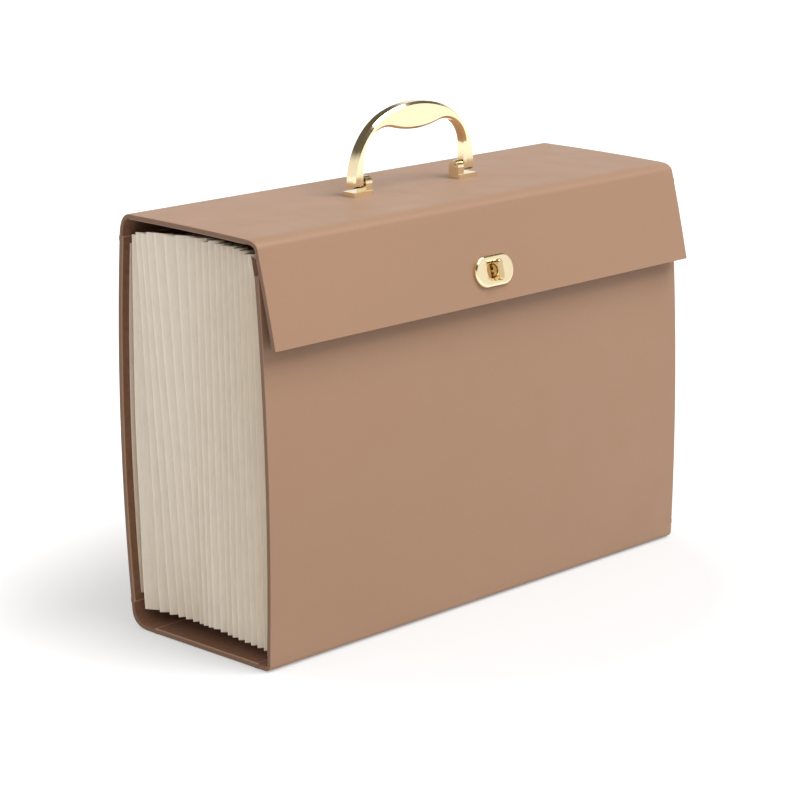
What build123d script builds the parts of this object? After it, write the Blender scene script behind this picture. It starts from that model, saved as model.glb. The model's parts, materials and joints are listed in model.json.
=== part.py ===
from build123d import *
from collections import namedtuple
from math import asin, atan2, degrees, exp, hypot, sqrt
import os

os.makedirs("parts", exist_ok=True)

# Whole file: its width, depth and height when closed, and the layers of every stiff panel
file_width = 380.0
file_depth = 128.0
file_height = 260.0
panel_thickness = 3.3
skin_thickness = 0.8
board_thickness = 2.0
edge_wrap = 1.0
edge_round = 0.8
glue_line = 0.05
fold_thickness = 3.0

# Outer face of the back wall: how far its ends lie beyond half the depth, and where they stand
back_foot_out = 2.6
back_foot_z = 15.5
back_head_out = 5.6
back_head_drop = 14.0
back_bow = 5.0

# Outer face of the lid: how far its ends stop short of half the depth
lid_back_in = 4.0
lid_front_in = 23.0
lid_front_drop = 1.5
lid_bow = 0.5

# Outer face of the closing flap, from the top fold to its free edge
flap_head_in = 11.4
flap_head_drop = 11.0
flap_foot_out = 1.6
flap_length = 53.0
flap_bow = 0.3

# Outer face of the front wall, from its free top edge to the bottom fold
front_head_in = 12.6
front_head_drop = 22.0
front_foot_in = 5.6
front_foot_z = 10.0
front_bow = 3.5

# Flat bottom panel: how far its ends stop short of half the depth
bottom_front_in = 16.5
bottom_back_in = 19.0

# Paper inside: the leaves, the dividers and the pleats that join them
pocket_count = 19
leaf_thickness = 0.6
leaf_side_margin = 6.0
leaf_end_margin = 5.0
divider_thickness = 0.4
divider_head_drop = 17.0
divider_corner = 5.0
divider_side_gap = 0.3
divider_foot_gap = 0.3
floor_peak_z = 13.5
floor_valley_z = 9.5
floor_rise = 0.7
floor_side_gap = 1.0
pleat_side_margin = 5.0
pleat_depth = 9.0
pleat_run = 1.3
pleat_wall_gap = 0.15
pleat_foot_z = 11.5
pleat_head_drop = 11.5
pleat_levels = 5
pocket_spread_share = 0.2
spread_reach_share = 0.15

# Carrying handle, drawn from the line through its two pins
handle_y = -1.0
handle_depth = 8.2
handle_facet = 1.5
handle_leg_drop = 2.4
handle_leg_outer = 55.2
handle_leg_width = 9.5
handle_top = 46.6
pivot_height = 7.4
arch_start = 0.5
arch_radius_share = 0.96
shoulder_radius_share = 0.427
shoulder_thickness = 4.6
shoulder_dip = 3.6

# Brackets and pins of the handle
bracket_depth = 8.3
bracket_foot_thickness = 2.8
bracket_foot_depth = 10.4
bracket_foot_overhang = 0.9
ear_thickness = 5.4
ear_leg_gap = 1.0
pin_radius = 1.6
pin_clearance = 0.08
pin_head_radius = 2.2
pin_head_thickness = 0.4
pin_bite = 5.0

# Rivets, set flush in the boards below the lining
rivet_head_radius = 3.0
rivet_head_thickness = 0.6
rivet_radius = 1.2
rivet_clearance = 0.1
rivet_bite = 0.8
bracket_rivet_margin = 3.6
lock_plate_rivet_x = 13.2
lock_base_rivet_x = 11.0

# Turn lock: plate on the flap, post on the front wall, knob on the post
lock_share = 0.64
lock_plate_width = 34.5
lock_plate_height = 19.8
lock_plate_thickness = 2.6
lock_plate_round = 1.6
aperture_width = 14.4
aperture_height = 8.8
aperture_round = 0.6
flap_hole_margin = 2.4
lock_base_width = 30.0
lock_base_height = 14.0
lock_base_thickness = 1.6
post_width = 13.4
post_height = 7.8
post_sink = 0.9
bore_radius = 2.0
knob_shaft_radius = 1.92
knob_shaft_length = 5.0
knob_gap = 0.35
knob_length = 13.4
knob_thickness = 4.6
knob_height = 5.2
knob_round = 1.3

half_width = file_width / 2
half_depth = file_depth / 2
divider_head_z = file_height - divider_head_drop
pleat_head_z = file_height - pleat_head_drop
bottom_front_y = bottom_front_in - half_depth
bottom_back_y = half_depth - bottom_back_in
pleat_ridge_x = half_width - pleat_side_margin
pleat_valley_x = pleat_ridge_x - pleat_depth
handle_leg_inner = handle_leg_outer - handle_leg_width
ear_end = handle_leg_inner - ear_leg_gap
ear_start = ear_end - ear_thickness
foot_end = handle_leg_outer + bracket_foot_overhang
board_end = skin_thickness + board_thickness

Arched = namedtuple("Arched", "centre_y centre_z radius start sweep")


def arched(start_y, start_z, end_y, end_z, bow):
    """Arc of a panel's outer face that swells by bow to the right of the way from start to end."""
    run_y = end_y - start_y
    run_z = end_z - start_z
    chord = hypot(run_y, run_z)
    radius = chord * chord / (8 * bow) + bow / 2
    sink = radius - bow
    centre_y = (start_y + end_y) / 2 - run_z / chord * sink
    centre_z = (start_z + end_z) / 2 + run_y / chord * sink
    start = degrees(atan2(start_z - centre_z, start_y - centre_y))
    end = degrees(atan2(end_z - centre_z, end_y - centre_y))
    return Arched(centre_y, centre_z, radius, start, (end - start) % 360)


def layer(panel, near, far, inset):
    """Section of an arched panel between two depths, short of both of its ends by inset."""
    trim = degrees(inset / panel.radius)
    first = panel.start + trim
    turn = panel.sweep - 2 * trim
    centre = (panel.centre_y, panel.centre_z)
    with BuildSketch(Plane.YZ) as section:
        with BuildLine():
            outer = CenterArc(centre, panel.radius - near, first, turn)
            inner = CenterArc(centre, panel.radius - far, first, turn)
            Line(outer @ 0, inner @ 0)
            Line(outer @ 1, inner @ 1)
        make_face()
    return section.sketch


def flat_layer(near, far, inset):
    """Section of the flat bottom panel between two depths."""
    with BuildSketch(Plane.YZ) as section:
        with BuildLine():
            Polyline(
                (bottom_front_y + inset, near),
                (bottom_back_y - inset, near),
                (bottom_back_y - inset, far),
                (bottom_front_y + inset, far),
                close=True,
            )
        make_face()
    return section.sketch


def panel_section(panel, near, far, inset):
    """Section of any panel; the bottom is the one without an arc."""
    if panel is None:
        return flat_layer(near, far, inset)
    return layer(panel, near, far, inset)


def arc_y(panel, depth, height, side):
    """Position across the pockets of an arched wall at one depth and height."""
    reach = panel.radius - depth
    rise = height - panel.centre_z
    return panel.centre_y + side * sqrt(reach * reach - rise * rise)


back_foot = (half_depth + back_foot_out, back_foot_z)
back_head = (half_depth + back_head_out, file_height - back_head_drop)
lid_back = (half_depth - lid_back_in, file_height)
lid_front = (lid_front_in - half_depth, file_height - lid_front_drop)
flap_head_z = file_height - flap_head_drop
flap_head = (flap_head_in - half_depth, flap_head_z)
flap_foot = (-half_depth - flap_foot_out, flap_head_z - flap_length)
front_head = (front_head_in - half_depth, file_height - front_head_drop)
front_foot = (front_foot_in - half_depth, front_foot_z)
back_wall = arched(*back_foot, *back_head, back_bow)
lid_wall = arched(*lid_back, *lid_front, lid_bow)
flap_wall = arched(*flap_head, *flap_foot, flap_bow)
front_wall = arched(*front_head, *front_foot, front_bow)


def face_frame(panel, y_offset, share):
    """Plane on the outer face of a panel at a share of its length, its normal pointing outwards."""
    middle = Vector(0, panel.centre_y, panel.centre_z)
    angle = panel.start + panel.sweep * share
    outward = Vector(0, 1, 0).rotate(Axis.X, angle)
    origin = middle + outward * panel.radius + Vector(0, y_offset, 0)
    return Plane(origin=origin, x_dir=(1, 0, 0), z_dir=outward)


lid_frame = face_frame(lid_wall, handle_y, 1 / 2)
lock_frame = face_frame(flap_wall, 0, lock_share)


def ray_to_arc(frame, panel):
    """How far behind a frame's origin its axis meets the outer face of a panel."""
    middle = Vector(0, panel.centre_y, panel.centre_z)
    inward = frame.z_dir * -1
    gap = middle - frame.origin
    along = gap.dot(inward)
    miss = gap.dot(gap) - along * along
    return along - sqrt(panel.radius * panel.radius - miss)


lock_gap = ray_to_arc(lock_frame, front_wall)
post_root_depth = lock_gap - lock_base_thickness / 2
base_origin = lock_frame.origin - lock_frame.z_dir * lock_gap
base_normal = (base_origin - Vector(0, front_wall.centre_y, front_wall.centre_z)).normalized()
base_frame = Plane(origin=base_origin, x_dir=(1, 0, 0), z_dir=base_normal)


def save(node, title):
    """Name a finished piece and write it out."""
    node.part.label = title
    export_step(node.part, "parts/" + title + ".step")


# Rivets: heads lie at the inner face of the board, shanks reach into the metal outside
def rivet_set(frame, places, slack):
    """Rivets of one fitting, or the room they need when slack is added."""
    head_plane = frame.offset(-board_end - slack)
    with BuildPart() as rivets:
        with BuildSketch(head_plane):
            with Locations(*places):
                Circle(rivet_head_radius + slack)
        extrude(amount=rivet_head_thickness + 2 * slack)
        with BuildSketch(head_plane):
            with Locations(*places):
                Circle(rivet_radius + slack)
        extrude(amount=board_end + rivet_bite + 2 * slack)
    return rivets


bracket_reaches = [ear_end + rivet_radius, foot_end - bracket_rivet_margin]
bracket_places = [(side * reach, 0) for side in (-1, 1) for reach in bracket_reaches]
plate_places = [(-lock_plate_rivet_x, 0), (lock_plate_rivet_x, 0)]
base_places = [(-lock_base_rivet_x, 0), (lock_base_rivet_x, 0)]

bracket_rivets = rivet_set(lid_frame, bracket_places, 0)
lock_plate_rivets = rivet_set(lock_frame, plate_places, 0)
lock_base_rivets = rivet_set(base_frame, base_places, 0)
save(bracket_rivets, "bracket_rivets")
save(lock_plate_rivets, "lock_plate_rivets")
save(lock_base_rivets, "lock_base_rivets")

# Hole through the flap for the post of the lock
with BuildPart() as flap_hole:
    with BuildSketch(lock_frame.offset(glue_line)):
        SlotOverall(aperture_width + 2 * flap_hole_margin, aperture_height + 2 * flap_hole_margin)
    extrude(amount=-panel_thickness - 2 * glue_line - flap_hole_margin)

lid_cut = [rivet_set(lid_frame, bracket_places, rivet_clearance)]
flap_cut = [rivet_set(lock_frame, plate_places, rivet_clearance), flap_hole]
front_cut = [rivet_set(base_frame, base_places, rivet_clearance)]

# Five stiff panels, each a board in a skin that wraps round its edges, closed by a lining
panels = [
    ("back", back_wall, []),
    ("bottom", None, []),
    ("front", front_wall, front_cut),
    ("lid", lid_wall, lid_cut),
    ("flap", flap_wall, flap_cut),
]
for title, wall, cuts in panels:
    cavity_inset = edge_wrap
    filling_inset = edge_wrap + glue_line
    with BuildPart() as cover:
        extrude(panel_section(wall, 0, panel_thickness, glue_line), amount=half_width, both=True)
        ends = cover.edges().group_by(Axis.X)
        rims = ends[0].sort_by(SortBy.LENGTH)[-2:] + ends[-1].sort_by(SortBy.LENGTH)[-2:]
        fillet(rims, radius=edge_round)
        extrude(
            panel_section(wall, skin_thickness, panel_thickness + edge_wrap, cavity_inset),
            amount=half_width - cavity_inset,
            both=True,
            mode=Mode.SUBTRACT,
        )
        for cut in cuts:
            add(cut.part, mode=Mode.SUBTRACT)
    with BuildPart() as board:
        extrude(
            panel_section(wall, skin_thickness + glue_line, board_end, filling_inset),
            amount=half_width - filling_inset,
            both=True,
        )
        for cut in cuts:
            add(cut.part, mode=Mode.SUBTRACT)
    with BuildPart() as lining:
        extrude(
            panel_section(wall, board_end + glue_line, panel_thickness, filling_inset),
            amount=half_width - filling_inset,
            both=True,
        )
        if title == "flap":
            add(flap_hole.part, mode=Mode.SUBTRACT)
    save(cover, "cover_" + title)
    save(board, "board_" + title)
    save(lining, "lining_" + title)


# Folds: soft strips of the same cover that bend from one panel to the next
def end_of(panel, share, depth):
    """Point on a panel's end at one depth, and the way the panel runs there."""
    centre = Vector(panel.centre_y, panel.centre_z)
    outward = Vector(1, 0).rotate(Axis.Z, panel.start + panel.sweep * share)
    return centre + outward * (panel.radius - depth), outward.rotate(Axis.Z, 90)


def crossing(first, first_way, second, second_way):
    """Point where the lines through two ends meet."""
    gap = second - first
    turn = first_way.X * second_way.Y - first_way.Y * second_way.X
    reach = (gap.X * second_way.Y - gap.Y * second_way.X) / turn
    return first + first_way * reach


def flat_end(y, depth):
    """End of the bottom panel at one depth, in the same form as the end of an arched one."""
    return Vector(y, depth), Vector(1, 0)


def fold_curve(first, second):
    """Control points of the bend between two ends."""
    corner = crossing(first[0], first[1], second[0], second[1])
    return [(point.X, point.Y) for point in (first[0], corner, second[0])]


def fold_strip(outer, inner):
    """Strip between an outer and an inner bend, over the whole width."""
    with BuildPart() as strip:
        with BuildSketch(Plane.YZ):
            with BuildLine():
                Bezier(*outer)
                Line(outer[-1], inner[-1])
                Bezier(*inner)
                Line(inner[0], outer[0])
            make_face()
        extrude(amount=half_width, both=True)
    return strip


folds = {
    "fold_back_bottom": [
        fold_curve(flat_end(bottom_back_y, depth), end_of(back_wall, 0, depth))
        for depth in (0, fold_thickness)
    ],
    "fold_back_top": [
        fold_curve(end_of(back_wall, 1, depth), end_of(lid_wall, 0, depth))
        for depth in (0, fold_thickness)
    ],
    "fold_flap": [
        fold_curve(end_of(lid_wall, 1, depth), end_of(flap_wall, 0, depth))
        for depth in (0, fold_thickness)
    ],
    "fold_front_bottom": [
        fold_curve(end_of(front_wall, 1, depth), flat_end(bottom_front_y, depth))
        for depth in (0, fold_thickness)
    ],
}
for title, curves in folds.items():
    fold = fold_strip(curves[0], curves[1])
    save(fold, title)

# Outermost leaves of the paper insert, glued to the linings of the back and the front
leaf_near = panel_thickness + glue_line
leaf_far = leaf_near + leaf_thickness
for title, wall in (("back_leaf", back_wall), ("front_leaf", front_wall)):
    with BuildPart() as leaf:
        extrude(
            layer(wall, leaf_near, leaf_far, leaf_end_margin),
            amount=half_width - leaf_side_margin,
            both=True,
        )
    save(leaf, title)


def back_reach(height):
    """Inner face of the back leaf at one height."""
    return arc_y(back_wall, leaf_far, height, 1)


def front_reach(height):
    """Inner face of the front leaf at one height."""
    return arc_y(front_wall, leaf_far, height, -1)


floor_top_z = floor_peak_z + floor_rise
divider_foot_z = floor_top_z + divider_foot_gap
foot_span = front_reach(divider_foot_z) - back_reach(divider_foot_z)
head_span = front_reach(divider_head_z - leaf_end_margin) - back_reach(divider_head_z)


def spread(number):
    """Share of the way from the back to the front at a divider; the back pockets are the widest."""
    way = number / pocket_count
    extra = (1 - exp(-way / spread_reach_share)) / (1 - exp(-1 / spread_reach_share))
    return way + (extra - way) * pocket_spread_share


def sheet_y(number, height):
    """Position of a straight divider at one height; 0 is the back and the last the front."""
    share = spread(number)
    foot = back_reach(divider_foot_z) + share * foot_span
    head = back_reach(divider_head_z) + share * head_span
    return foot + (head - foot) * (height - divider_foot_z) / (divider_head_z - divider_foot_z)


# Dividers: flat sheets that stand in the floor pleats and fan out about their lower edges
for number in range(1, pocket_count):
    half = divider_thickness / 2
    foot = sheet_y(number, divider_foot_z)
    head = sheet_y(number, divider_head_z)
    with BuildPart() as divider:
        with BuildSketch(Plane.YZ):
            with BuildLine():
                Polyline(
                    (foot - half, divider_foot_z),
                    (foot + half, divider_foot_z),
                    (head + half, divider_head_z),
                    (head - half, divider_head_z),
                    close=True,
                )
            make_face()
        extrude(amount=pleat_valley_x - divider_side_gap, both=True)
        corners = divider.edges().filter_by(Axis.Y).group_by(Axis.Z)[-1]
        chamfer(corners, length=divider_corner)
    save(divider, f"divider_{number:02d}")

# Floor of the pockets: one paper strip pleated between the lower edges of the dividers
floor_points = []
for number in range(pocket_count + 1):
    peak = sheet_y(number, floor_peak_z)
    if number == 0:
        peak = back_reach(floor_peak_z) - pleat_wall_gap
    if number == pocket_count:
        peak = front_reach(floor_peak_z) + pleat_wall_gap
    floor_points.append((peak, floor_peak_z))
    if number < pocket_count:
        middle = (sheet_y(number, floor_peak_z) + sheet_y(number + 1, floor_peak_z)) / 2
        floor_points.append((middle, floor_valley_z))
floor_return = [(y, z + floor_rise) for y, z in reversed(floor_points)]
with BuildPart() as pocket_floor:
    with BuildSketch(Plane.YZ):
        with BuildLine():
            Polyline(*floor_points, *floor_return, close=True)
        make_face()
    extrude(amount=pleat_valley_x - floor_side_gap, both=True)
save(pocket_floor, "pocket_floor")


# Side gussets: zigzag paper walls with one ridge for each pocket and one valley at each divider
def gusset_outline(height):
    """Closed zigzag outline of the right gusset at one height."""
    line = []
    for number in range(pocket_count + 1):
        place = sheet_y(number, height)
        if number == 0:
            place = back_reach(height) - pleat_wall_gap
        if number == pocket_count:
            place = front_reach(height) + pleat_wall_gap
        line.append((pleat_valley_x, place))
        if number < pocket_count:
            following = sheet_y(number + 1, height)
            if number + 1 == pocket_count:
                following = front_reach(height) + pleat_wall_gap
            line.append((pleat_ridge_x - pleat_run, (place + following) / 2))
    outer = [(x + pleat_run, y) for x, y in reversed(line)]
    return line + outer


with BuildPart() as gusset_right:
    for level in range(pleat_levels):
        share = level / (pleat_levels - 1)
        height = pleat_foot_z + (pleat_head_z - pleat_foot_z) * share
        with BuildSketch(Plane.XY.offset(height)):
            with BuildLine():
                Polyline(*gusset_outline(height), close=True)
            make_face()
    loft(ruled=True)
save(gusset_right, "gusset_right")

with BuildPart() as gusset_left:
    add(gusset_right.part.mirror(Plane.YZ))
save(gusset_left, "gusset_left")

# Carrying handle: an arch with a swollen grip. Its outer line is one flat arc over two tighter
# ones; its inner line dips between two shoulders, which lie a set thickness inside the outer
# line. All arcs meet without a corner.
pivot = lid_frame.origin + lid_frame.z_dir * pivot_height
handle_frame = Plane(origin=pivot, x_dir=(1, 0, 0), z_dir=lid_frame.y_dir * -1)
arch_rise = handle_top - arch_start
arch_radius = arch_rise * arch_radius_share
arch_offset = handle_leg_outer - arch_radius
crown_radius = (arch_offset**2 + arch_rise**2 - arch_radius**2) / (2 * (arch_rise - arch_radius))
crown_turn = degrees(asin(arch_offset / (crown_radius - arch_radius)))
shoulder_radius = handle_leg_inner * shoulder_radius_share
shoulder_offset = handle_leg_inner - shoulder_radius
shoulder_reach = arch_radius - shoulder_radius - shoulder_thickness
shoulder_start = arch_start + sqrt(shoulder_reach**2 - (shoulder_offset - arch_offset) ** 2)
belly_rise = shoulder_radius - shoulder_dip
belly_radius = (shoulder_offset**2 + belly_rise**2 - shoulder_radius**2) / (
    2 * (shoulder_radius - belly_rise)
)
belly_turn = degrees(asin(shoulder_offset / (shoulder_radius + belly_radius)))
with BuildPart() as handle:
    with BuildSketch(handle_frame):
        with BuildLine():
            rise = JernArc((-handle_leg_outer, arch_start), (0, 1), arch_radius, crown_turn - 90)
            crown = JernArc(rise @ 1, rise % 1, crown_radius, -2 * crown_turn)
            fall = JernArc(crown @ 1, crown % 1, arch_radius, crown_turn - 90)
            inner_start = (-handle_leg_inner, shoulder_start)
            inner_rise = JernArc(inner_start, (0, 1), shoulder_radius, -belly_turn - 90)
            belly = JernArc(inner_rise @ 1, inner_rise % 1, belly_radius, 2 * belly_turn)
            inner_fall = JernArc(belly @ 1, belly % 1, shoulder_radius, -belly_turn - 90)
            Polyline(
                rise @ 0,
                (-handle_leg_outer, -handle_leg_drop),
                (-handle_leg_inner, -handle_leg_drop),
                inner_rise @ 0,
            )
            Polyline(
                fall @ 1,
                (handle_leg_outer, -handle_leg_drop),
                (handle_leg_inner, -handle_leg_drop),
                inner_fall @ 1,
            )
        make_face()
    extrude(amount=handle_depth / 2, both=True)
    flats = handle.faces().sort_by(Axis(pivot, handle_frame.z_dir))
    chamfer(flats[0].edges() + flats[-1].edges(), length=handle_facet)
    for side in (-1, 1):
        hole_start = pivot + Vector(side * handle_leg_inner, 0, 0)
        with BuildSketch(Plane(origin=hole_start, z_dir=(side, 0, 0))):
            Circle(pin_radius + pin_clearance)
        extrude(amount=pin_bite + pin_clearance, mode=Mode.SUBTRACT)
save(handle, "handle")

# Brackets: a foot under each leg and a round topped ear beside it
for title, side in (("handle_bracket_left", -1), ("handle_bracket_right", 1)):
    ear_face = pivot + Vector(side * ear_start, 0, 0)
    ear_plane = Plane(origin=ear_face, x_dir=lid_frame.y_dir, z_dir=(side, 0, 0))
    ear_down = -side * pivot_height * ear_plane.y_dir.dot(lid_frame.z_dir * side)
    with BuildPart() as bracket:
        with BuildSketch(lid_frame):
            with Locations((side * (ear_start + foot_end) / 2, 0)):
                Rectangle(foot_end - ear_start, bracket_foot_depth)
        extrude(amount=bracket_foot_thickness)
        with BuildSketch(ear_plane):
            Circle(bracket_depth / 2)
            with Locations((0, ear_down / 2)):
                Rectangle(bracket_depth, pivot_height)
        extrude(amount=ear_end - ear_start)
        with BuildSketch(ear_plane):
            Circle(pin_radius)
        extrude(amount=ear_end - ear_start, mode=Mode.SUBTRACT)
        for reach in bracket_reaches:
            with BuildSketch(lid_frame):
                with Locations((side * reach, 0)):
                    Circle(rivet_radius)
            extrude(amount=rivet_bite, mode=Mode.SUBTRACT)
    save(bracket, title)

# Pins of the handle, fixed in the ears and headed on the inner side
with BuildPart() as handle_pins:
    for side in (-1, 1):
        pin_start = pivot + Vector(side * (ear_start - pin_head_thickness), 0, 0)
        pin_plane = Plane(origin=pin_start, z_dir=(side, 0, 0))
        with BuildSketch(pin_plane):
            Circle(pin_head_radius)
        extrude(amount=pin_head_thickness)
        with BuildSketch(pin_plane):
            Circle(pin_radius)
        extrude(amount=pin_head_thickness + handle_leg_inner - ear_start + pin_bite)
save(handle_pins, "handle_pins")

# Lock plate: a domed oval round the opening of the flap
with BuildPart() as lock_plate:
    with BuildSketch(lock_frame):
        SlotOverall(lock_plate_width, lock_plate_height)
    extrude(amount=lock_plate_thickness)
    rim = lock_plate.faces().sort_by(Axis(lock_frame.origin, lock_frame.z_dir))[-1]
    fillet(rim.edges(), radius=lock_plate_round)
    with BuildSketch(lock_frame):
        SlotOverall(aperture_width, aperture_height)
    extrude(amount=lock_plate_thickness, mode=Mode.SUBTRACT)
    mouth = lock_plate.faces().sort_by(Axis(lock_frame.origin, lock_frame.z_dir))[-1]
    fillet(mouth.inner_wires()[0].edges(), radius=aperture_round)
    for place in plate_places:
        with BuildSketch(lock_frame):
            with Locations(place):
                Circle(rivet_radius)
        extrude(amount=rivet_bite, mode=Mode.SUBTRACT)
save(lock_plate, "lock_plate")

# Lock base: an oval plate on the front wall with the post that passes through the flap
with BuildPart() as lock_base:
    with BuildSketch(base_frame):
        SlotOverall(lock_base_width, lock_base_height)
    extrude(amount=lock_base_thickness)
    with BuildSketch(lock_frame.offset(-post_root_depth)):
        SlotOverall(post_width, post_height)
    extrude(amount=post_root_depth + lock_plate_thickness - post_sink)
    with BuildSketch(lock_frame.offset(lock_plate_thickness - post_sink)):
        Circle(bore_radius)
    extrude(amount=-knob_shaft_length, mode=Mode.SUBTRACT)
    for place in base_places:
        with BuildSketch(base_frame):
            with Locations(place):
                Circle(rivet_radius)
        extrude(amount=rivet_bite, mode=Mode.SUBTRACT)
save(lock_base, "lock_base")

# Turn knob: a round ended bar that stands across the opening and turns on the post
knob_start = lock_plate_thickness + knob_gap
with BuildPart() as turn_knob:
    with BuildSketch(lock_frame.offset(knob_start)):
        SlotOverall(knob_length, knob_thickness, rotation=90)
    extrude(amount=knob_height)
    crown = turn_knob.faces().sort_by(Axis(lock_frame.origin, lock_frame.z_dir))[-1]
    fillet(crown.edges(), radius=knob_round)
    with BuildSketch(lock_frame.offset(knob_start)):
        Circle(knob_shaft_radius)
    extrude(amount=-post_sink - knob_shaft_length)
save(turn_knob, "turn_knob")
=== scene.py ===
"""Expanding file case: materials, folds, paper pleats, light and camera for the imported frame."""
import json
import math

import bmesh
import bpy
from mathutils import Matrix, Vector, noise

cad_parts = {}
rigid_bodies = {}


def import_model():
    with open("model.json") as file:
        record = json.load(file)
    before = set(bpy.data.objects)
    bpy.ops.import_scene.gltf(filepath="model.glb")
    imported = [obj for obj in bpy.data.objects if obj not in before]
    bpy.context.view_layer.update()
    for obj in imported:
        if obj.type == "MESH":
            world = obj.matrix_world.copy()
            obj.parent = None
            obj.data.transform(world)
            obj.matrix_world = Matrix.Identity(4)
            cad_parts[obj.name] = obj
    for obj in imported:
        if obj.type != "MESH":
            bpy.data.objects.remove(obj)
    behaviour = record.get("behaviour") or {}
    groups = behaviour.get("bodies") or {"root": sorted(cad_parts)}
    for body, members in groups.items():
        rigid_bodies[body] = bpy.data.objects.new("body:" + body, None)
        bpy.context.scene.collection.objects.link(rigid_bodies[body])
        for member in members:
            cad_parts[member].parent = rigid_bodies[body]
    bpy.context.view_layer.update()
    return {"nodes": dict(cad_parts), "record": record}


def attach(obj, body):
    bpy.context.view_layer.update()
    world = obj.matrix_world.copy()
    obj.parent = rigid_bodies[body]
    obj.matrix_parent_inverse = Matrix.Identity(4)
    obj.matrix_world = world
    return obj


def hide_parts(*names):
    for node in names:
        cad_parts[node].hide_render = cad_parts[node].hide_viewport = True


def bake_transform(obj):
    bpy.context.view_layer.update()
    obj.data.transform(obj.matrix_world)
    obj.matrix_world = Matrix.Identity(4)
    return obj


for leftover in list(bpy.data.objects):
    bpy.data.objects.remove(leftover)

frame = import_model()
nodes = frame["nodes"]
scene = bpy.context.scene

MM = 0.001

# Sizes repeated from the CAD model, in millimetres
HALF_WIDTH = 190.0
FOLD_THICKNESS = 3.0
SKIN = 0.8
LEAF_FAR = 3.95
LEAF_END = 5.0
POCKETS = 19
DIVIDER_FOOT_Z = 14.5
DIVIDER_HEAD_Z = 243.0
SPREAD_SHARE = 0.2
SPREAD_REACH = 0.15
VALLEY_X = 176.0
RIDGE_X = 185.0


def arched(start_y, start_z, end_y, end_z, bow):
    """Arc of a panel's outer face, as (centre y, centre z, radius, start, sweep) in radians."""
    run_y, run_z = end_y - start_y, end_z - start_z
    chord = math.hypot(run_y, run_z)
    radius = chord * chord / (8 * bow) + bow / 2
    sink = radius - bow
    centre_y = (start_y + end_y) / 2 - run_z / chord * sink
    centre_z = (start_z + end_z) / 2 + run_y / chord * sink
    start = math.atan2(start_z - centre_z, start_y - centre_y)
    end = math.atan2(end_z - centre_z, end_y - centre_y)
    return centre_y, centre_z, radius, start, (end - start) % (2 * math.pi)


BACK = arched(66.6, 15.5, 69.6, 246.0, 5.0)
LID = arched(60.0, 260.0, -41.0, 258.5, 0.5)
FLAP = arched(-52.6, 249.0, -65.6, 196.0, 0.3)
FRONT = arched(-51.4, 238.0, -58.4, 10.0, 3.5)
BOTTOM_FRONT_Y = -47.5
BOTTOM_BACK_Y = 45.0


# ---------------------------------------------------------------- node helpers
def node_material(name, roughness=0.5, metallic=0.0):
    made = bpy.data.materials.new(name)
    made.use_nodes = True
    tree = made.node_tree
    shader = tree.nodes["Principled BSDF"]
    shader.inputs["Roughness"].default_value = roughness
    shader.inputs["Metallic"].default_value = metallic
    return made, tree, shader


def add_node(tree, kind, **settings):
    """New node; each setting goes to the input socket of that name, or else to the property."""
    made = tree.nodes.new(kind)
    for key, value in settings.items():
        if key in made.inputs:
            made.inputs[key].default_value = value
        else:
            setattr(made, key, value)
    return made


def texture(tree, scale, detail=3.0, roughness=0.5, stretch=(1, 1, 1), kind="ShaderNodeTexNoise"):
    """Texture node read at the surface's place in metres."""
    coordinates = add_node(tree, "ShaderNodeTexCoord")
    mapping = add_node(tree, "ShaderNodeMapping", Scale=stretch)
    made = add_node(tree, kind, Scale=scale)
    if kind == "ShaderNodeTexNoise":
        made.inputs["Detail"].default_value = detail
        made.inputs["Roughness"].default_value = roughness
    tree.links.new(coordinates.outputs["Object"], mapping.inputs["Vector"])
    tree.links.new(mapping.outputs["Vector"], made.inputs["Vector"])
    return made


def ramp(tree, source, stops):
    """Colour read off stops of (place, colour)."""
    made = add_node(tree, "ShaderNodeValToRGB")
    elements = made.color_ramp.elements
    while len(elements) < len(stops):
        elements.new(0.5)
    for element, (place, colour) in zip(elements, stops):
        element.position = place
        element.color = (*colour, 1.0)
    tree.links.new(source, made.inputs["Fac"])
    return made.outputs["Color"]


def mixed(tree, factor, first, second, blend="MIX"):
    made = add_node(tree, "ShaderNodeMix", data_type="RGBA", blend_type=blend)
    for socket, value in ((made.inputs[0], factor), (made.inputs[6], first), (made.inputs[7], second)):
        if isinstance(value, bpy.types.NodeSocket):
            tree.links.new(value, socket)
        elif isinstance(value, tuple):
            socket.default_value = (*value, 1.0)
        else:
            socket.default_value = value
    return made.outputs[2]


def math_node(tree, operation, *sources):
    made = add_node(tree, "ShaderNodeMath", operation=operation)
    for socket, source in zip(made.inputs, sources):
        tree.links.new(source, socket)
    return made.outputs[0]


def x_size(tree, vector):
    """Size of a vector's X part."""
    axes = add_node(tree, "ShaderNodeSeparateXYZ")
    tree.links.new(vector, axes.inputs[0])
    return math_node(tree, "ABSOLUTE", axes.outputs["X"])


def map_range(tree, source, start, end, low=0.0, high=1.0):
    """Source mapped from start..end to low..high, and held there outside."""
    made = add_node(tree, "ShaderNodeMapRange")
    for socket, value in (("From Min", start), ("From Max", end), ("To Min", low), ("To Max", high)):
        made.inputs[socket].default_value = value
    tree.links.new(source, made.inputs["Value"])
    return made.outputs[0]


def side_range(tree, start_x, end_x):
    """0 to 1 between two distances from the middle plane, in millimetres."""
    coordinates = add_node(tree, "ShaderNodeTexCoord")
    return map_range(tree, x_size(tree, coordinates.outputs["Object"]), start_x * MM, end_x * MM)


def add_bump(tree, shader, heights):
    """Chain of bumps: each is (socket, strength, distance in metres)."""
    last = None
    for height, strength, distance in heights:
        bump = add_node(tree, "ShaderNodeBump", Strength=strength, Distance=distance)
        tree.links.new(height, bump.inputs["Height"])
        if last is not None:
            tree.links.new(last.outputs["Normal"], bump.inputs["Normal"])
        last = bump
    tree.links.new(last.outputs["Normal"], shader.inputs["Normal"])


def grey(value):
    return (value,) * 3


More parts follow.
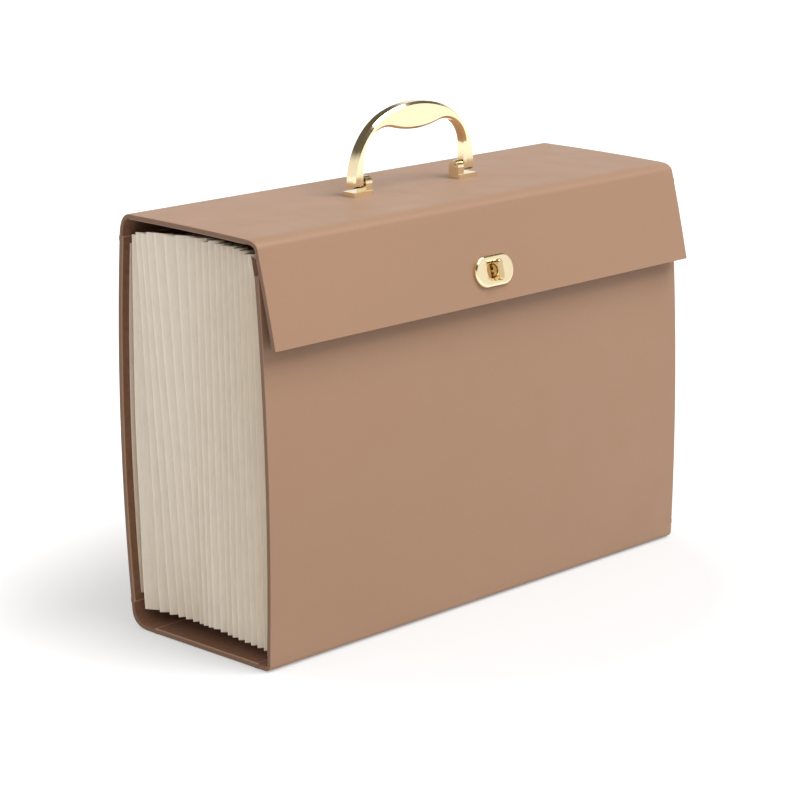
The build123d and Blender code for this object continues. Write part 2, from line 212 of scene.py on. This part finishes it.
def scaled(tone, factor):
    return tuple(min(1.0, channel * factor) for channel in tone)


# ---------------------------------------------------------------- materials
COVER_TONE = (0.40, 0.233, 0.143)
# Painted shade: tint that darkens the cover's faces turned to either side, where less light falls
COVER_END_SHADE = (0.51, 0.48, 0.47)
RIM_WEAR = 1.06
RIM_START, RIM_FULL = HALF_WIDTH - 1.4, HALF_WIDTH - 0.3
PAPER_TONE, PAPER_SHADE = (0.885, 0.79, 0.663), (0.855, 0.76, 0.633)
# Painted shade that darkens the card towards the valleys, and a painted highlight on the ridges, by
# distance from the middle plane
PAPER_DEPTH_SHADE_AND_HIGHLIGHT = (
    (0.0, (0.74, 0.72, 0.69)), (0.35, (0.86, 0.85, 0.83)),
    (0.75, grey(0.97)), (0.93, grey(1.0)), (0.98, grey(1.12)))
LINING_TONE = (0.26, 0.125, 0.068)
THREAD_SCALE = 320.0
BOARD_TONE = (0.35, 0.33, 0.3)
GOLD_TONE, GOLD_ROUGHNESS = (0.90, 0.76, 0.50), 0.13
# Darker copy of the gold for the knob and its base: painted shade standing in for the dark reflections on
# them
SHADED_GOLD_TONE, SHADED_GOLD_ROUGHNESS = (0.70, 0.53, 0.29), 0.17
STEEL_DARK, STEEL_LIGHT = 0.5, 0.62


def cover_material(name, tone):
    """Smooth coated cover: fine grain, faint colour drift, paler worn rims and painted shade on the ends
    that face either side.
    """
    made, tree, shader = node_material(name)
    drift = texture(tree, scale=6.0, detail=2.0)
    colour = ramp(tree, drift.outputs["Fac"], [(0.25, scaled(tone, 0.985)), (0.75, scaled(tone, 1.015))])
    speckle = texture(tree, scale=900.0, detail=2.0)
    fine = ramp(tree, speckle.outputs["Fac"], [(0.35, grey(0.97)), (0.65, grey(1.0))])
    base = mixed(tree, 1.0, colour, fine, "MULTIPLY")
    worn = mixed(tree, side_range(tree, RIM_START, RIM_FULL), base, scaled(tone, RIM_WEAR))
    geometry = add_node(tree, "ShaderNodeNewGeometry")
    # Painted shade: faces turned towards either side take the darker end tint
    end_shade_mask = ramp(tree, x_size(tree, geometry.outputs["True Normal"]), [(0.72, grey(0.0)), (0.95, grey(1.0))])
    end_shaded = mixed(tree, end_shade_mask, worn, tuple(c * tint for c, tint in zip(tone, COVER_END_SHADE)))
    tree.links.new(end_shaded, shader.inputs["Base Color"])
    polish = texture(tree, scale=40.0)
    gloss = ramp(tree, polish.outputs["Fac"], [(0.3, grey(0.44)), (0.7, grey(0.54))])
    tree.links.new(gloss, shader.inputs["Roughness"])
    shader.inputs["Specular IOR Level"].default_value = 0.4
    shader.inputs["Sheen Weight"].default_value = 0.17
    shader.inputs["Sheen Roughness"].default_value = 0.4
    ripple = texture(tree, scale=9.0, detail=1.0)
    pebble = texture(tree, scale=420.0, detail=4.0)
    grain = texture(tree, scale=1100.0, kind="ShaderNodeTexVoronoi")
    grain.feature = "SMOOTH_F1"
    add_bump(tree, shader, [
        (ripple.outputs["Fac"], 0.1, 0.0003),
        (pebble.outputs["Fac"], 0.12, 0.0002),
        (grain.outputs["Distance"], 0.14, 0.0001),
    ])
    return made


def paper_material(name, tone, shade):
    """Matt card: faint fibres, a soft mottle, painted shade towards the creases and a painted highlight on
    the ridges.
    """
    made, tree, shader = node_material(name, roughness=0.82)
    mottle = texture(tree, scale=60.0, detail=4.0, roughness=0.6)
    base = ramp(tree, mottle.outputs["Fac"], [(0.3, shade), (0.7, tone)])
    fibre = texture(tree, scale=700.0, stretch=(1.0, 1.0, 0.15))
    fleck = ramp(tree, fibre.outputs["Fac"], [(0.35, grey(0.95)), (0.6, grey(1.0))])
    geometry = add_node(tree, "ShaderNodeNewGeometry")
    # Painted shade in the hollow creases and a painted highlight on sharp ridges, read from the mesh's
    # pointiness
    crease = ramp(tree, geometry.outputs["Pointiness"], [
        (0.4, grey(0.9)), (0.5, grey(1.0)), (0.58, grey(1.06))])
    # Painted shade deeper in the pleats and a painted highlight at their ridges
    depth_shade_and_highlight = ramp(tree, side_range(tree, VALLEY_X - 1.0, RIDGE_X), PAPER_DEPTH_SHADE_AND_HIGHLIGHT)
    for veil in (fleck, crease, depth_shade_and_highlight):
        base = mixed(tree, 1.0, base, veil, "MULTIPLY")
    tree.links.new(base, shader.inputs["Base Color"])
    shader.inputs["Specular IOR Level"].default_value = 0.25
    add_bump(tree, shader, [
        (fibre.outputs["Fac"], 0.18, 0.00012),
        (mottle.outputs["Fac"], 0.15, 0.0004),
    ])
    return made


def lining_material(name, tone):
    """Dark woven lining."""
    made, tree, shader = node_material(name, roughness=0.85)
    threads = []
    for direction in ("X", "Z"):
        thread = texture(tree, THREAD_SCALE, kind="ShaderNodeTexWave")
        thread.bands_direction = direction
        threads.append(thread.outputs["Color"])
    weave = mixed(tree, 0.5, *threads)
    fleck = texture(tree, scale=300.0, detail=2.0)
    colour = ramp(tree, fleck.outputs["Fac"], [(0.3, scaled(tone, 0.8)), (0.7, tone)])
    tree.links.new(colour, shader.inputs["Base Color"])
    add_bump(tree, shader, [(weave, 0.2, 0.0001)])
    return made


def gold_material(name, tone, roughness):
    """Polished plating: pale gold with faint polishing marks and fingerprints."""
    made, tree, shader = node_material(name, roughness=roughness, metallic=1.0)
    smear = texture(tree, scale=110.0)
    gloss = ramp(tree, smear.outputs["Fac"], [(0.35, grey(roughness * 0.8)), (0.7, grey(roughness * 1.35))])
    tree.links.new(gloss, shader.inputs["Roughness"])
    tint = ramp(tree, smear.outputs["Fac"], [(0.3, tone), (0.7, scaled(tone, 1.04))])
    tree.links.new(tint, shader.inputs["Base Color"])
    marks = texture(tree, scale=900.0, detail=2.0, stretch=(0.2, 1.0, 1.0))
    add_bump(tree, shader, [(marks.outputs["Fac"], 0.03, 0.00005)])
    return made


def board_material(name, tone):
    """Grey pressed board with flecks."""
    made, tree, shader = node_material(name, roughness=0.9)
    flecks = texture(tree, scale=500.0, detail=4.0)
    colour = ramp(tree, flecks.outputs["Fac"], [(0.3, scaled(tone, 0.8)), (0.7, tone)])
    tree.links.new(colour, shader.inputs["Base Color"])
    add_bump(tree, shader, [(flecks.outputs["Fac"], 0.3, 0.0002)])
    return made


def steel_material(name):
    """Steel brushed across the case."""
    made, tree, shader = node_material(name, roughness=0.35, metallic=1.0)
    scratches = texture(tree, scale=700.0, detail=2.0, stretch=(0.1, 1, 1))
    colour = ramp(tree, scratches.outputs["Fac"], [(0.3, grey(STEEL_DARK)), (0.7, grey(STEEL_LIGHT))])
    tree.links.new(colour, shader.inputs["Base Color"])
    add_bump(tree, shader, [(scratches.outputs["Fac"], 0.1, 0.00005)])
    return made


cover = cover_material("cover", COVER_TONE)
paper = paper_material("pocket_paper", PAPER_TONE, PAPER_SHADE)
lining = lining_material("lining", LINING_TONE)
gold = gold_material("gold_metal", GOLD_TONE, GOLD_ROUGHNESS)
board = board_material("grey_board", BOARD_TONE)
steel = steel_material("rivet_steel")
shaded_gold = gold_material("gold_metal_shaded", SHADED_GOLD_TONE, SHADED_GOLD_ROUGHNESS)

MATERIALS = {"cover_material": cover, "pocket_paper": paper, "lining": lining, "gold_metal": gold,
             "board": board, "rivet_steel": steel}
for part in frame["record"]["subparts"]:
    made = nodes[part["node"]]
    made.data.materials.clear()
    made.data.materials.append(MATERIALS[part["material_slot"]])
# Painted shade: the knob and its base take the darker copy of the gold
for name in ("turn_knob", "lock_base"):
    nodes[name].data.materials[0] = shaded_gold


# ---------------------------------------------------------------- mesh helpers
def mesh_from_rings(name, rings, material):
    """Smooth tube of quads through closed rings of points, which are in millimetres."""
    size = len(rings[0])
    points = [tuple(c * MM for c in point) for ring in rings for point in ring]
    faces = []
    for this in range(0, (len(rings) - 1) * size, size):
        for j in range(size):
            right = (j + 1) % size
            faces.append((this + j, this + right, this + size + right, this + size + j))
    mesh = bpy.data.meshes.new(name)
    mesh.from_pydata(points, [], faces)
    mesh.validate()
    made = bpy.data.objects.new(name, mesh)
    scene.collection.objects.link(made)
    mesh.materials.append(material)
    return made


def finish_faces(made, sharp_degrees, new_faces=()):
    """Adds faces by their vertices' numbers, then turns all faces outwards and shades them smooth."""
    work = bmesh.new()
    work.from_mesh(made.data)
    work.verts.ensure_lookup_table()
    for corners in new_faces:
        work.faces.new([work.verts[corner] for corner in corners])
    bmesh.ops.recalc_face_normals(work, faces=work.faces)
    work.to_mesh(made.data)
    work.free()
    for polygon in made.data.polygons:
        polygon.use_smooth = True
    made.data.set_sharp_from_angle(angle=math.radians(sharp_degrees))


# ---------------------------------------------------------------- soft folds of the cover
FOLD_STEPS = 17
FOLD_SHARP_DEGREES = 35
LAP = (3.0, 1.5, 0.02)
LIFT = 0.02
RIM = 0.8
RIM_STEPS = (0.0, 0.08, 0.24, 0.5, RIM)
RIM_SPAN = 2.2 * RIM
STATIONS = range(-170, 171, 20)


def panel_end(panel, share, depth):
    """Point below a panel's outer face, a share of the way along it, and the direction there."""
    angle = panel[3] + panel[4] * share
    reach = panel[2] - depth
    point = (panel[0] + reach * math.cos(angle), panel[1] + reach * math.sin(angle))
    return point, (-math.sin(angle), math.cos(angle))


def flat_end(y, depth):
    """The same for the flat bottom."""
    return (y, depth), (1.0, 0.0)


def crossing(first, second):
    """Where two lines cross, each given by a point and a direction."""
    (p, u), (q, v) = first, second
    turn = u[0] * v[1] - u[1] * v[0]
    reach = ((q[0] - p[0]) * v[1] - (q[1] - p[1]) * v[0]) / turn
    return (p[0] + u[0] * reach, p[1] + u[1] * reach)


def bend_points(first, second, straight):
    """Curve between two panel ends; it runs straight for a while at either end."""
    corner = crossing(first, second)
    leaving = tuple(first[0][c] + first[1][c] * straight[0] for c in (0, 1))
    arriving = tuple(second[0][c] - second[1][c] * straight[1] for c in (0, 1))
    points = [first[0]]
    for k in range(FOLD_STEPS):
        t = k / (FOLD_STEPS - 1)
        points.append(tuple(
            (1 - t) ** 2 * leaving[c] + 2 * t * (1 - t) * corner[c] + t * t * arriving[c]
            for c in (0, 1)))
    return points + [second[0]]


def fold_line(ends, depth, lap_depth, straight):
    """Bend between two panels at one depth, lapped a little way onto the panel at either end."""
    first, second = ends(depth)
    near, far = ends(lap_depth)
    before = [tuple(near[0][c] - near[1][c] * lap for c in (0, 1)) for lap in LAP]
    after = [tuple(far[0][c] + far[1][c] * lap for c in (0, 1)) for lap in reversed(LAP)]
    return before + bend_points(first, second, straight) + after


def rounded_side(x, near, far, sink):
    """One line of the section at x, sunk towards the other line to round the strip's side end."""
    side = []
    for a, b in zip(near, far):
        share = sink / max(RIM_SPAN, math.dist(a, b))
        side.append((x, a[0] + (b[0] - a[0]) * share, a[1] + (b[1] - a[1]) * share))
    return side


def fold_strip(name, ends, node, bodies=None, body=None, straight=(0.05, 0.05)):
    """Bent strip of cover: a closed section with rounded side ends, feathered laps and a lined inside."""
    outer = fold_line(ends, -LIFT, -LIFT, straight)
    inner = fold_line(ends, FOLD_THICKNESS, SKIN / 2, straight)
    stations = [(inset - HALF_WIDTH, RIM - math.sqrt(RIM ** 2 - (RIM - inset) ** 2)) for inset in RIM_STEPS]
    stations += [(x, 0.0) for x in STATIONS]
    stations += [(-x, sink) for x, sink in reversed(stations[:len(RIM_STEPS)])]
    rings = [rounded_side(x, outer, inner, sink) + rounded_side(x, inner, outer, sink)[::-1]
             for x, sink in stations]
    ring_size = len(rings[0])
    tube_faces = (len(rings) - 1) * ring_size
    made = mesh_from_rings(name, rings, cover)
    caps = [(first + k, first + k + 1, first + ring_size - 2 - k, first + ring_size - 1 - k)
            for first in (0, tube_faces) for k in range(ring_size // 2 - 1)]
    finish_faces(made, FOLD_SHARP_DEGREES, caps)
    made.data.materials.append(lining)
    for polygon in made.data.polygons:
        if polygon.index < tube_faces and ring_size // 2 <= polygon.index % ring_size < ring_size - 1:
            polygon.material_index = 1
    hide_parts(node)
    if bodies:
        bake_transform(made)
    else:
        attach(made, body)


fold_strip("top_back_fold", lambda d: (panel_end(BACK, 1, d), panel_end(LID, 0, d)),
           "fold_back_top", bodies=("base", "lid"))
fold_strip("top_front_fold", lambda d: (panel_end(LID, 1, d), panel_end(FLAP, 0, d)),
           "fold_flap", bodies=("lid", "flap"), straight=(0.3, 4.6))
fold_strip("bottom_front_fold", lambda d: (panel_end(FRONT, 1, d), flat_end(BOTTOM_FRONT_Y, d)),
           "fold_front_bottom", bodies=("front", "base"), straight=(5.6, 4.5))
fold_strip("bottom_back_fold", lambda d: (flat_end(BOTTOM_BACK_Y, d), panel_end(BACK, 0, d)),
           "fold_back_bottom", body="base", straight=(6.0, 4.5))


# ---------------------------------------------------------------- paper pleats
PLEAT_LEVELS = 23
PLEAT_SHARP_DEGREES = 40
PAPER_RUN = 0.5
VALLEY_GAP = 0.15
LOW_Z, HIGH_Z = 20.0, 240.0

# How far each ridge leans to the back at those two heights, from the back pocket to the front one
LEAN_LOW = (3.2, 0.3, 0.3, 0.3, 0.3, 0.6, 0.4, 2.0, 3.0, 3.8, 2.8, 1.7, 2.4, 2.1, 1.9, 1.7, 0.6, 0.3, 0.3)
LEAN_HIGH = (
    4.3, 10.5, 14.7, 16.8, 16.8, 13.8, 9.6, 5.6, 3.9, 3.0, 2.6, 2.0, 1.4, 1.3, 1.1, 0.9, 0.6, 0.5, 0.2)

# A pleat's section: shares of the way from valley to ridge, with a tight crease at the valley
CLIMB = (0.0, 0.04, 0.1, 0.3, 0.55, 0.8, 0.95, 1.0)
CREASE_SHARE, CREASE_CLIMB, CREASE_POWER = 0.48, 0.1, 0.8
RIDGE_ROUND = 0.0016

# The last pleats lie under the flap: their ridges are tucked back and the last face falls away
RIDGE_TUCK = {POCKETS - 3: 0.7, POCKETS - 2: 2.2, POCKETS - 1: 4.6}
TUCK_START_Z, TUCK_RUN, TUCK_POWER = 170.0, 78.0, 4
LAST_FACE_FALL = 8.5

# Lines of (y, z) that the pleats' heads and feet follow, and how far each piece wanders from its place
PAPER_TOP = (
    (66.0, 247.3), (50.0, 249.4), (20.0, 251.0), (-10.0, 251.2), (-25.0, 250.2), (-38.0, 247.9),
    (-48.0, 245.6))
PAPER_FOOT = ((66.0, 10.8), (50.0, 12.2), (25.0, 13.3), (-5.0, 13.0), (-30.0, 10.9), (-56.0, 9.4))
TOP_WANDER, RIDGE_WANDER, RIM_WANDER = 1.5, 0.7, 0.3

# The front panel's joint, and the heights at which the last pleat's blend is right
FRONT_TILT, FRONT_PIVOT_Z = math.radians(20.0), 1.2
LAST_LOW_Z, LAST_HIGH_Z = 80.0, 240.0
HALVINGS = 40


def arc_y(panel, depth, height, side):
    """Place of a panel's face at a height; side is 1 for the back and -1 for the front."""
    reach = panel[2] - depth
    return panel[0] + side * math.sqrt(reach * reach - (height - panel[1]) ** 2)


def back_reach(height):
    return arc_y(BACK, LEAF_FAR, height, 1)


def front_reach(height):
    return arc_y(FRONT, LEAF_FAR, height, -1)


FOOT_SPAN = front_reach(DIVIDER_FOOT_Z) - back_reach(DIVIDER_FOOT_Z)
HEAD_SPAN = front_reach(DIVIDER_HEAD_Z - LEAF_END) - back_reach(DIVIDER_HEAD_Z)


def spread(number):
    """Share of the case's depth at which a divider stands; the back pockets are a little wider."""
    way = number / POCKETS
    extra = (1 - math.exp(-way / SPREAD_REACH)) / (1 - math.exp(-1 / SPREAD_REACH))
    return way + (extra - way) * SPREAD_SHARE


def sheet_y(number, height):
    """Place of a divider's middle at a height."""
    share = spread(number)
    foot = back_reach(DIVIDER_FOOT_Z) + share * FOOT_SPAN
    head = back_reach(DIVIDER_HEAD_Z) + share * HEAD_SPAN
    return foot + (head - foot) * (height - DIVIDER_FOOT_Z) / (DIVIDER_HEAD_Z - DIVIDER_FOOT_Z)


def front_line(height):
    """Last valley, on the front leaf's inner face."""
    return front_reach(min(height, DIVIDER_HEAD_Z - LEAF_END)) + VALLEY_GAP


def valley_y(number, height):
    if number == 0:
        return back_reach(height) - VALLEY_GAP
    if number == POCKETS:
        return front_line(height)
    return sheet_y(number, height)


def tuck(height):
    """Share of the last ridges' tuck to the back, which grows quickly towards their heads."""
    return min(1.0, max(0.0, (height - TUCK_START_Z) / TUCK_RUN)) ** TUCK_POWER


def along(table, y):
    """Height read off a line of (y, z) points that run from the back to the front."""
    for (y0, z0), (y1, z1) in zip(table, table[1:]):
        if y >= y1:
            return z0 + (z1 - z0) * min(1.0, max(0.0, (y0 - y) / (y0 - y1)))
    return table[-1][1]


def lean(number, height):
    """How far a ridge leans to the back of the middle between its two valleys."""
    share = (height - LOW_Z) / (HIGH_Z - LOW_Z)
    return LEAN_LOW[number] + (LEAN_HIGH[number] - LEAN_LOW[number]) * share


def ridge_y(number, height):
    middle = (valley_y(number, height) + valley_y(number + 1, height)) / 2
    return middle + lean(number, height) + RIDGE_TUCK.get(number, 0.0) * tuck(height)


def reach_out(climb):
    """Share of the way out from valley to ridge: a tight crease, a flat face, a slightly round ridge."""
    if climb < CREASE_CLIMB:
        return CREASE_SHARE * (climb / CREASE_CLIMB) ** CREASE_POWER
    face = (climb - CREASE_CLIMB) / (1 - CREASE_CLIMB)
    rounded = 1 - math.sqrt((1 - face) ** 2 + RIDGE_ROUND) + RIDGE_ROUND
    return CREASE_SHARE + (1 - CREASE_SHARE) * rounded


def inverse_smooth(weight):
    """Place t from 0 to 1 at which the blend's smooth weight, 3t^2 - 2t^3, has this value."""
    low, high = 0.0, 1.0
    for _ in range(HALVINGS):
        middle = (low + high) / 2
        if middle * middle * (3 - 2 * middle) < weight:
            low = middle
        else:
            high = middle
    return (low + high) / 2


def last_share(height):
    """Blend position of the last divider, which turns about its own foot and not about the front's."""
    moved = math.sin(FRONT_TILT * spread(POCKETS - 1)) * (height - DIVIDER_FOOT_Z)
    return inverse_smooth(moved / (math.sin(FRONT_TILT) * (height - FRONT_PIVOT_Z)))


def wander(amount, *place):
    return amount * noise.noise(Vector(place))


def pleat_rings(side, number):
    """Sections of one pleat from its foot to its head: valley, ridge, valley and back inside."""
    top = along(PAPER_TOP, ridge_y(number, HIGH_Z)) + wander(TOP_WANDER, number * 5.1, side, 0.4)
    foot = along(PAPER_FOOT, ridge_y(number, LOW_Z))
    last_fall = LAST_FACE_FALL if number + 1 == POCKETS else 0.0
    rings = []
    for level in range(PLEAT_LEVELS):
        height = foot + (top - foot) * level / (PLEAT_LEVELS - 1)
        first, last = valley_y(number, height), valley_y(number + 1, height)
        ridge = ridge_y(number, height) + wander(RIDGE_WANDER, number * 7.3, side * 3.1, height * 0.012)
        ridge_x = RIDGE_X - RIM_WANDER + wander(RIM_WANDER, number * 3.7, side * 9.0, height * 0.02)
        outer = []
        for valley, climbs, fall in ((first, CLIMB, 0.0), (last, CLIMB[-2::-1], last_fall)):
            for climb in climbs:
                drop = fall * (1 - climb) * level / (PLEAT_LEVELS - 1)
                outer.append((VALLEY_X + (ridge_x - VALLEY_X) * reach_out(climb),
                              valley + (ridge - valley) * climb, height - drop))
        inner = [(x - PAPER_RUN, y, z) for x, y, z in reversed(outer)]
        rings.append([(side * x, y, z) for x, y, z in outer + inner])
    return rings


def pleat_blend(side, number):
    """End and gradient of a pleat's blend, so that it meets its two dividers as they fan open."""
    start_share = inverse_smooth(spread(number) / spread(number + 1))
    foot_first, foot_last = valley_y(number, LOW_Z), valley_y(number + 1, LOW_Z)
    head_first, head_last = valley_y(number, HIGH_Z), valley_y(number + 1, HIGH_Z)
    across = Vector((0, -1.0, (head_last - foot_last) / (HIGH_Z - LOW_Z))).normalized()
    length = (foot_first - foot_last + head_first - head_last) / 2 / (1 - start_share)
    rise = across / length
    rise.x = side * lean(number, HIGH_Z) / (length * (RIDGE_X - VALLEY_X))
    return Vector((side * VALLEY_X, foot_last, LOW_Z)), rise


def last_blend():
    """The same for the last pleat, right for its two valleys at two heights."""
    low, high = LAST_LOW_Z, LAST_HIGH_Z
    rise = Vector((0, 0, 0))
    rise.y = -(1 - last_share(low)) / (sheet_y(POCKETS - 1, low) - front_line(low))
    rise.z = (last_share(high) - 1 - (sheet_y(POCKETS - 1, high) - front_line(low)) * rise.y) / (high - low)
    return Vector((VALLEY_X, front_line(low), low)), rise


def pleat(side, number):
    """One pocket's pleat, as a thin closed strip of paper; the last one's front face takes the dark lining
    as painted shade under the flap.
    """
    rings = pleat_rings(side, number)
    made = mesh_from_rings(f"pleat_{'left' if side < 0 else 'right'}_{number + 1:02d}", rings, paper)
    finish_faces(made, PLEAT_SHARP_DEGREES)
    if number + 1 == POCKETS:
        # Painted shade: the dark lining on the last pleat's front face stands in for the shade under the
        # flap
        made.data.materials.append(lining)
        ring_size = len(rings[0])
        for polygon in made.data.polygons:
            if len(CLIMB) - 1 <= polygon.index % ring_size < ring_size - len(CLIMB):
                polygon.material_index = 1
        end, rise = last_blend()
    else:
        end, rise = pleat_blend(side, number)
    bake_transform(made)
    return made


for side, node in ((-1, "gusset_left"), (1, "gusset_right")):
    for number in range(POCKETS):
        made = pleat(side, number)
        if number == 0:
            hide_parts(node)


# ---------------------------------------------------------------- floor
FLOOR_SIZE = 12.0
FLOOR_Z = -0.0003
FLOOR_SEEN, FLOOR_BOUNCE = 0.5, 0.5

# Light that the camera and mirrors see on the floor, growing between two distances in metres; it is painted
# shade that keeps the floor's shadow dark near the case and fades it further out
LIFT_NEAR, LIFT_FAR = 0.19, 0.32
LIFT_LOW, LIFT_HIGH = 0.4, 0.68

floor_material, floor_tree, floor_shader = node_material("studio_floor", roughness=0.9)
floor_shader.inputs["Specular IOR Level"].default_value = 0.0
floor_shader.inputs["Emission Color"].default_value = (1, 1, 1, 1)
floor_paths = add_node(floor_tree, "ShaderNodeLightPath")
floor_seen = math_node(floor_tree, "MAXIMUM", floor_paths.outputs["Is Camera Ray"],
                       floor_paths.outputs["Is Glossy Ray"])
floor_tone = mixed(floor_tree, floor_seen, grey(FLOOR_BOUNCE), grey(FLOOR_SEEN))
floor_tree.links.new(floor_tone, floor_shader.inputs["Base Color"])
floor_place = add_node(floor_tree, "ShaderNodeTexCoord")
floor_reach = add_node(floor_tree, "ShaderNodeVectorMath", operation="LENGTH")
floor_tree.links.new(floor_place.outputs["Object"], floor_reach.inputs[0])
# Painted shade: less glow near the case darkens the floor there, and more glow further out fades the shadow
floor_shadow_fade = map_range(floor_tree, floor_reach.outputs["Value"], LIFT_NEAR, LIFT_FAR, LIFT_LOW, LIFT_HIGH)
floor_lift = math_node(floor_tree, "MULTIPLY", floor_seen, floor_shadow_fade)
floor_tree.links.new(floor_lift, floor_shader.inputs["Emission Strength"])
bpy.ops.mesh.primitive_plane_add(size=FLOOR_SIZE, location=(0, 0, FLOOR_Z))
floor = bpy.context.object
floor.name = "studio_floor"
floor.data.materials.append(floor_material)

# ---------------------------------------------------------------- world and lights
SKY_TONE, SKY_STRENGTH = (1.0, 0.985, 0.97, 1), 0.5

# What metal mirrors, by height: pale below and at the very top, dark between
MIRRORED_BANDS = (
    (0.0, (1.0, 1.0, 1.0)), (0.3, (0.95, 0.95, 0.94)), (0.46, (0.14, 0.13, 0.1)),
    (0.8, (0.12, 0.11, 0.09)), (0.93, (0.9, 0.9, 0.88)))

world = bpy.data.worlds.new("studio")
scene.world = world
world.use_nodes = True
sky = world.node_tree
for old in list(sky.nodes):
    sky.nodes.remove(old)
paths = add_node(sky, "ShaderNodeLightPath")
seen = add_node(sky, "ShaderNodeBackground", Color=(1, 1, 1, 1), Strength=1.0)
light = add_node(sky, "ShaderNodeBackground", Color=SKY_TONE, Strength=SKY_STRENGTH)
mirrored = add_node(sky, "ShaderNodeBackground", Strength=1.0)
direction = add_node(sky, "ShaderNodeTexCoord")
direction_axes = add_node(sky, "ShaderNodeSeparateXYZ")
sky.links.new(direction.outputs["Generated"], direction_axes.inputs[0])
sky.links.new(ramp(sky, direction_axes.outputs["Z"], MIRRORED_BANDS), mirrored.inputs["Color"])
output = add_node(sky, "ShaderNodeOutputWorld")
chosen = light.outputs[0]
for ray, shown in (("Is Glossy Ray", mirrored), ("Is Camera Ray", seen)):
    choice = add_node(sky, "ShaderNodeMixShader")
    sky.links.new(paths.outputs[ray], choice.inputs[0])
    sky.links.new(chosen, choice.inputs[1])
    sky.links.new(shown.outputs[0], choice.inputs[2])
    chosen = choice.outputs[0]
sky.links.new(chosen, output.inputs["Surface"])


def sun(name, towards, strength, spread_degrees, glossy=True):
    """Sun lamp that stands in the direction towards; glossy says whether metal mirrors it."""
    data = bpy.data.lights.new(name, "SUN")
    data.energy = strength
    data.angle = math.radians(spread_degrees)
    made = bpy.data.objects.new(name, data)
    scene.collection.objects.link(made)
    made.rotation_euler = (-Vector(towards)).to_track_quat("-Z", "Y").to_euler()
    made.visible_glossy = glossy


sun("key", towards=(0.31, -0.51, 0.80), strength=2.45, spread_degrees=42.0)
sun("fill", towards=(-0.90, 0.02, 0.44), strength=0.8, spread_degrees=80.0, glossy=False)

# ---------------------------------------------------------------- camera, solved from nine corners
AZIMUTH, ELEVATION, ROLL = math.radians(-46.2329), math.radians(14.2803), math.radians(-0.0504)
CAMERA_BACK, CAMERA_RIGHT, CAMERA_UP = 1.798408, -0.010846, 0.117246
CAMERA_ORIGIN = Vector((0, 0.003, 0))
LENS, SENSOR_WIDTH, CLIP_END = 123.75, 36.0, 50.0

back = Vector((math.sin(AZIMUTH) * math.cos(ELEVATION), -math.cos(AZIMUTH) * math.cos(ELEVATION),
               math.sin(ELEVATION)))
right = Vector((math.cos(AZIMUTH), math.sin(AZIMUTH), 0))
up = back.cross(right)
place = back * CAMERA_BACK + right * CAMERA_RIGHT + up * CAMERA_UP + CAMERA_ORIGIN
turned_right = right * math.cos(ROLL) - up * math.sin(ROLL)
turned_up = right * math.sin(ROLL) + up * math.cos(ROLL)
camera_data = bpy.data.cameras.new("camera")
camera_data.lens = LENS
camera_data.sensor_width = SENSOR_WIDTH
camera_data.clip_end = CLIP_END
camera = bpy.data.objects.new("camera", camera_data)
scene.collection.objects.link(camera)
camera.matrix_world = Matrix((
    (turned_right.x, turned_up.x, back.x, place.x),
    (turned_right.y, turned_up.y, back.y, place.y),
    (turned_right.z, turned_up.z, back.z, place.z),
    (0, 0, 0, 1),
))
scene.camera = camera
scene.view_settings.view_transform = "Standard"
